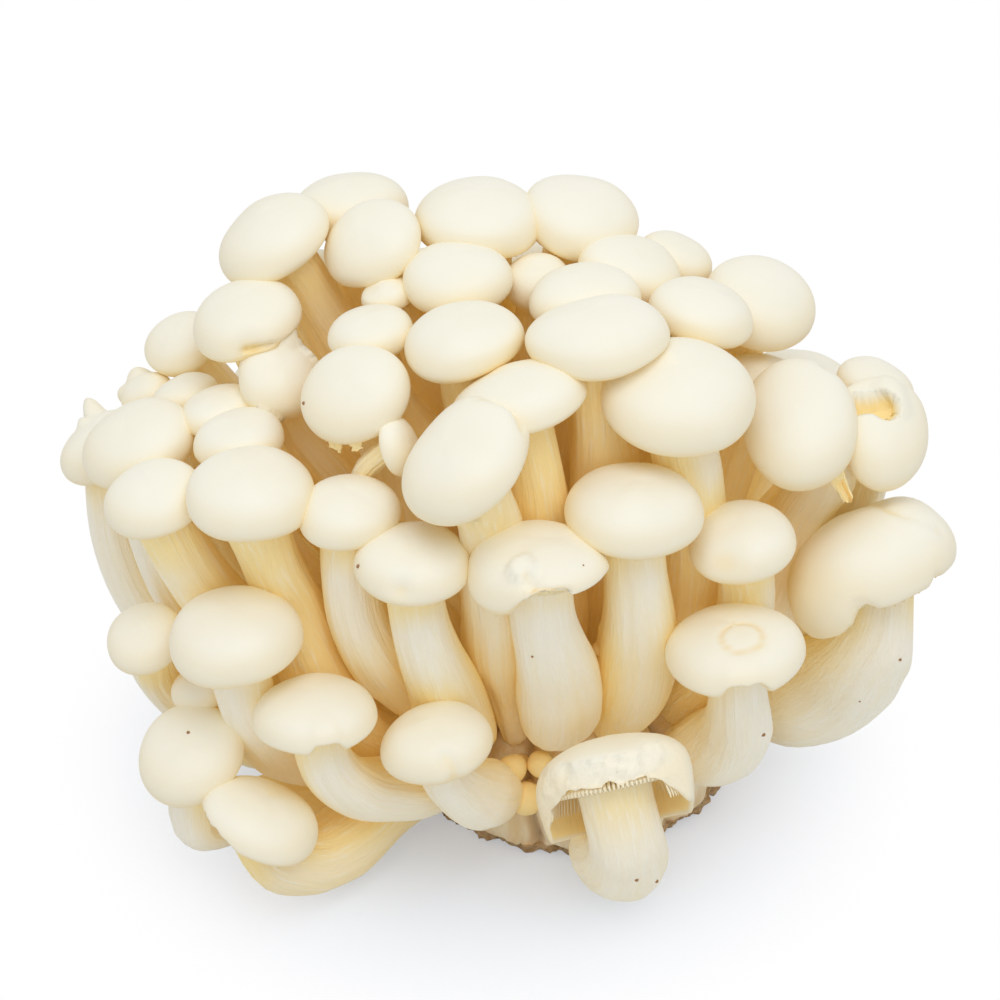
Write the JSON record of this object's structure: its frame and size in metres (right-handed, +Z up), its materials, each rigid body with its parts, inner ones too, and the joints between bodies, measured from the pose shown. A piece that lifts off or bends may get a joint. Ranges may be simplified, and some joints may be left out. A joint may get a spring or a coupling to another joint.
{
  "type": "shimeji mushroom bunch",
  "caption": "Bunch of white shimeji mushrooms grown from one base, round caps on thick curved stems, standing on the base's flat cut face.",
  "frame": {"origin": "centre of the base's flat cut face", "axes": "+Z up out of the cut face; -Y towards the bunch's front; +X to the right seen from the front, along the bunch's long way"},
  "size_m": [0.1313, 0.1071, 0.0859],
  "materials": {
    "flesh": "smooth matt ivory flesh",
    "cut_base": "rough tan rind, brown at the cut edge"
  },
  "bodies": {
    "root": {"back_mushroom_01": "flesh", "back_mushroom_02": "flesh", "back_mushroom_03": "flesh", "back_mushroom_04": "flesh", "back_mushroom_05": "flesh", "back_mushroom_06": "flesh", "back_mushroom_07": "flesh", "back_mushroom_08": "flesh", "base": "cut_base", "crown_mushroom_01": "flesh", "crown_mushroom_02": "flesh", "crown_mushroom_03": "flesh", "crown_mushroom_04": "flesh", "crown_mushroom_05": "flesh", "crown_mushroom_06": "flesh", "crown_mushroom_07": "flesh", "crown_mushroom_08": "flesh", "crown_mushroom_09": "flesh", "crown_mushroom_10": "flesh", "crown_mushroom_11": "flesh", "crown_mushroom_12": "flesh", "crown_mushroom_13": "flesh", "crown_mushroom_14": "flesh", "crown_mushroom_15": "flesh", "crown_mushroom_16": "flesh", "front_mushroom_01": "flesh", "front_mushroom_02": "flesh", "front_mushroom_03": "flesh", "front_mushroom_04": "flesh", "front_mushroom_05": "flesh", "front_mushroom_06": "flesh", "front_mushroom_07": "flesh", "front_mushroom_08": "flesh", "front_mushroom_09": "flesh", "front_mushroom_10": "flesh", "left_mushroom_01": "flesh", "left_mushroom_02": "flesh", "left_mushroom_03": "flesh", "left_mushroom_04": "flesh", "left_mushroom_05": "flesh", "left_mushroom_06": "flesh", "left_mushroom_07": "flesh", "left_mushroom_08": "flesh", "left_mushroom_09": "flesh", "left_mushroom_10": "flesh", "left_mushroom_11": "flesh", "right_mushroom_01": "flesh", "right_mushroom_02": "flesh", "right_mushroom_03": "flesh", "right_mushroom_04": "flesh", "right_mushroom_05": "flesh", "skirt_mushroom_01": "flesh", "skirt_mushroom_02": "flesh", "skirt_mushroom_03": "flesh", "skirt_mushroom_04": "flesh", "skirt_mushroom_05": "flesh", "skirt_mushroom_06": "flesh", "skirt_mushroom_07": "flesh", "skirt_mushroom_08": "flesh", "skirt_mushroom_09": "flesh"}
  },
  "joints": []
}
